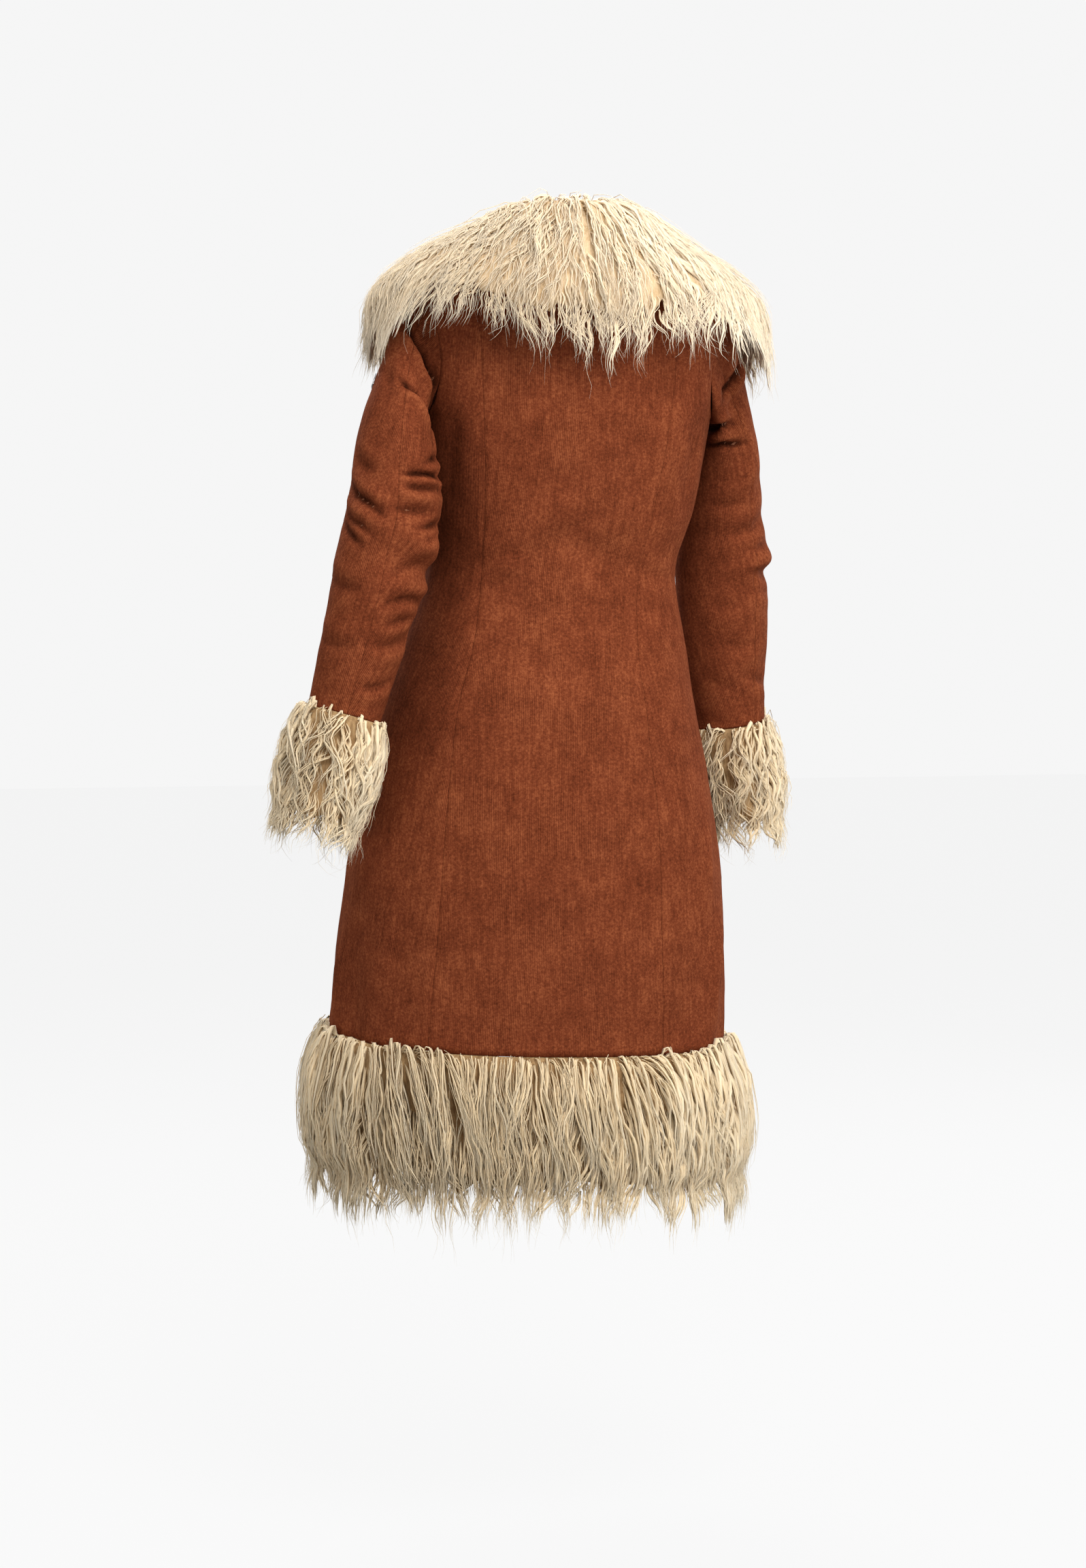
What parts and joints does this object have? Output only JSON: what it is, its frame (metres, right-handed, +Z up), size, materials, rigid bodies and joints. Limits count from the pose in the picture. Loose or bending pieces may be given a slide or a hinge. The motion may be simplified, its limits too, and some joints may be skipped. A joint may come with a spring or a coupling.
{
  "type": "afghan coat",
  "caption": "Calf-length afghan coat in its worn, hollow form: princess-seamed suede-faced shell, two-piece sleeves, and a shaggy long-pile collar, cuffs and hem.",
  "frame": {"origin": "middle of the shoulder line at the base of the neck, inside the coat, where the wearer carries it", "axes": "+Z up, -Y to the coat's front, +X to the coat's left sleeve"},
  "size_m": [0.6542, 0.4515, 1.2204],
  "materials": {
    "suede_cloth": "napped, matt",
    "pile": "long shaggy pile",
    "tab_metal": "satin"
  },
  "bodies": {
    "root": {"back_centre": "suede_cloth", "back_side_left": "suede_cloth", "back_side_right": "suede_cloth", "front_left": "suede_cloth", "front_right": "suede_cloth", "sleeve_left_upper": "suede_cloth", "sleeve_left_under": "suede_cloth", "sleeve_right_upper": "suede_cloth", "sleeve_right_under": "suede_cloth", "collar": "pile", "cuff_left": "pile", "cuff_right": "pile", "hem_pile_left": "pile", "hem_pile_back": "pile", "hem_pile_right": "pile", "sleeve_tab": "tab_metal"}
  },
  "joints": []
}
